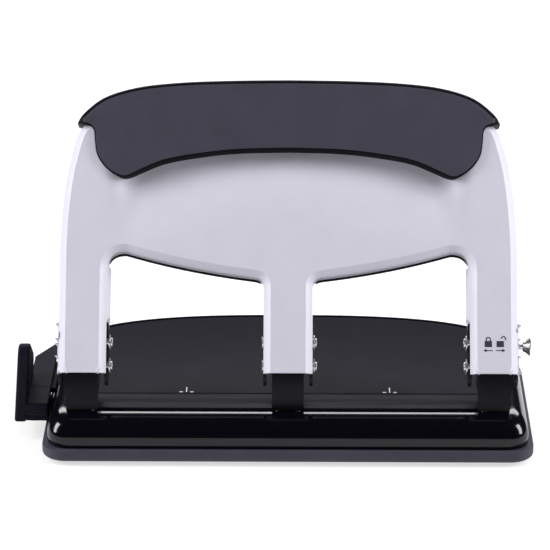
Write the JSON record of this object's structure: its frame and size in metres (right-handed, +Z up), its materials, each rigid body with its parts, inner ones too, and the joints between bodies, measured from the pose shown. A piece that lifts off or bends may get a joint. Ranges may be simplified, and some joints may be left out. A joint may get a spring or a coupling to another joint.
{
  "type": "three hole paper punch",
  "caption": "Desktop paper punch with one wide squeeze handle over three punch heads, a chip pan base, a handle lock and a sliding paper guide.",
  "frame": {"origin": "middle of the whole punch's footprint box, on the surface it stands on", "axes": "+X to the right seen from the front, along the row of heads; +Y from the front edge to the back; +Z up"},
  "size_m": [0.2742, 0.152, 0.181],
  "materials": {
    "grey_plastic": "fine matte moulded",
    "gloss_plastic": "polished black",
    "black_metal": "black coated steel",
    "deck_plastic": "satin black",
    "silver_paint": "satin silver lacquer",
    "grip_plastic": "satin slate grey soft-touch",
    "chrome": "bright",
    "rubber": "matte",
    "screw_steel": "zinc plated",
    "tool_steel": "ground",
    "spring_steel": "bright wire",
    "head_black": "satin black moulding"
  },
  "bodies": {
    "pan": {"chip_pan": "grey_plastic", "foot_front_left": "rubber", "foot_front_right": "rubber", "foot_rear_left": "rubber", "foot_rear_right": "rubber"},
    "base": {"base_housing": "gloss_plastic", "die_plate": "black_metal", "paper_deck": "deck_plastic", "die_bush_left": "tool_steel", "head_bracket_left": "head_black", "return_spring_left": "spring_steel", "head_screw_left_1": "screw_steel", "head_screw_left_2": "screw_steel", "die_bush_middle": "tool_steel", "head_bracket_middle": "head_black", "return_spring_middle": "spring_steel", "head_screw_middle_1": "screw_steel", "head_screw_middle_2": "screw_steel", "die_bush_right": "tool_steel", "head_bracket_right": "head_black", "return_spring_right": "spring_steel", "head_screw_right_1": "screw_steel", "head_screw_right_2": "screw_steel"},
    "handle": {"handle_shell": "silver_paint", "handle_grip": "grip_plastic", "grip_screw_1": "screw_steel", "grip_screw_2": "screw_steel", "grip_screw_3": "screw_steel", "lever_left": "black_metal", "lever_screw_left": "screw_steel", "pivot_pin_left": "chrome", "pivot_clip_left": "spring_steel", "drive_pin_left": "chrome", "drive_clip_left": "spring_steel", "lever_middle": "black_metal", "lever_screw_middle": "screw_steel", "pivot_pin_middle": "chrome", "pivot_clip_middle": "spring_steel", "drive_pin_middle": "chrome", "drive_clip_middle": "spring_steel", "lever_right": "black_metal", "lever_screw_right": "screw_steel", "pivot_pin_right": "chrome", "pivot_clip_right": "spring_steel", "drive_pin_right": "chrome", "drive_clip_right": "spring_steel"},
    "lock": {"lock_pin": "chrome"},
    "guide": {"paper_guide": "deck_plastic"},
    "punch_left": {"punch_pin_left": "tool_steel", "spring_clip_left": "spring_steel"},
    "punch_middle": {"punch_pin_middle": "tool_steel", "spring_clip_middle": "spring_steel"},
    "punch_right": {"punch_pin_right": "tool_steel", "spring_clip_right": "spring_steel"}
  },
  "joints": [
    {"name": "housing_lift", "type": "slide", "parent": "pan", "child": "base", "axis": [0, 0, 1], "range_m": [0, 0.04]},
    {"name": "handle_press", "type": "hinge", "parent": "base", "child": "handle", "pos_m": [0.00835, -0.05183, 0.04646], "axis": [-1, 0, 0], "range_deg": [0, 50], "stiffness_Nm_per_rad": 1.5, "springref_deg": -34.38},
    {"name": "lock_push", "type": "slide", "parent": "handle", "child": "lock", "axis": [-1, 0, 0], "range_m": [0, 0.0023]},
    {"name": "guide_slide", "type": "slide", "parent": "base", "child": "guide", "axis": [-1, 0, 0], "range_m": [0, 0.02]},
    {"name": "punch_stroke_left", "type": "slide", "parent": "base", "child": "punch_left", "axis": [0, 0, -1], "range_m": [0, 0.0087], "deforming": ["return_spring_left"]},
    {"name": "punch_stroke_middle", "type": "slide", "parent": "base", "child": "punch_middle", "axis": [0, 0, -1], "range_m": [0, 0.0087], "deforming": ["return_spring_middle"]},
    {"name": "punch_stroke_right", "type": "slide", "parent": "base", "child": "punch_right", "axis": [0, 0, -1], "range_m": [0, 0.0087], "deforming": ["return_spring_right"]}
  ],
  "couplings": [
    {"joint": "punch_stroke_left", "follows": "handle_press", "m_per_rad": 0.00996},
    {"joint": "punch_stroke_middle", "follows": "handle_press", "m_per_rad": 0.00996},
    {"joint": "punch_stroke_right", "follows": "handle_press", "m_per_rad": 0.00996}
  ]
}
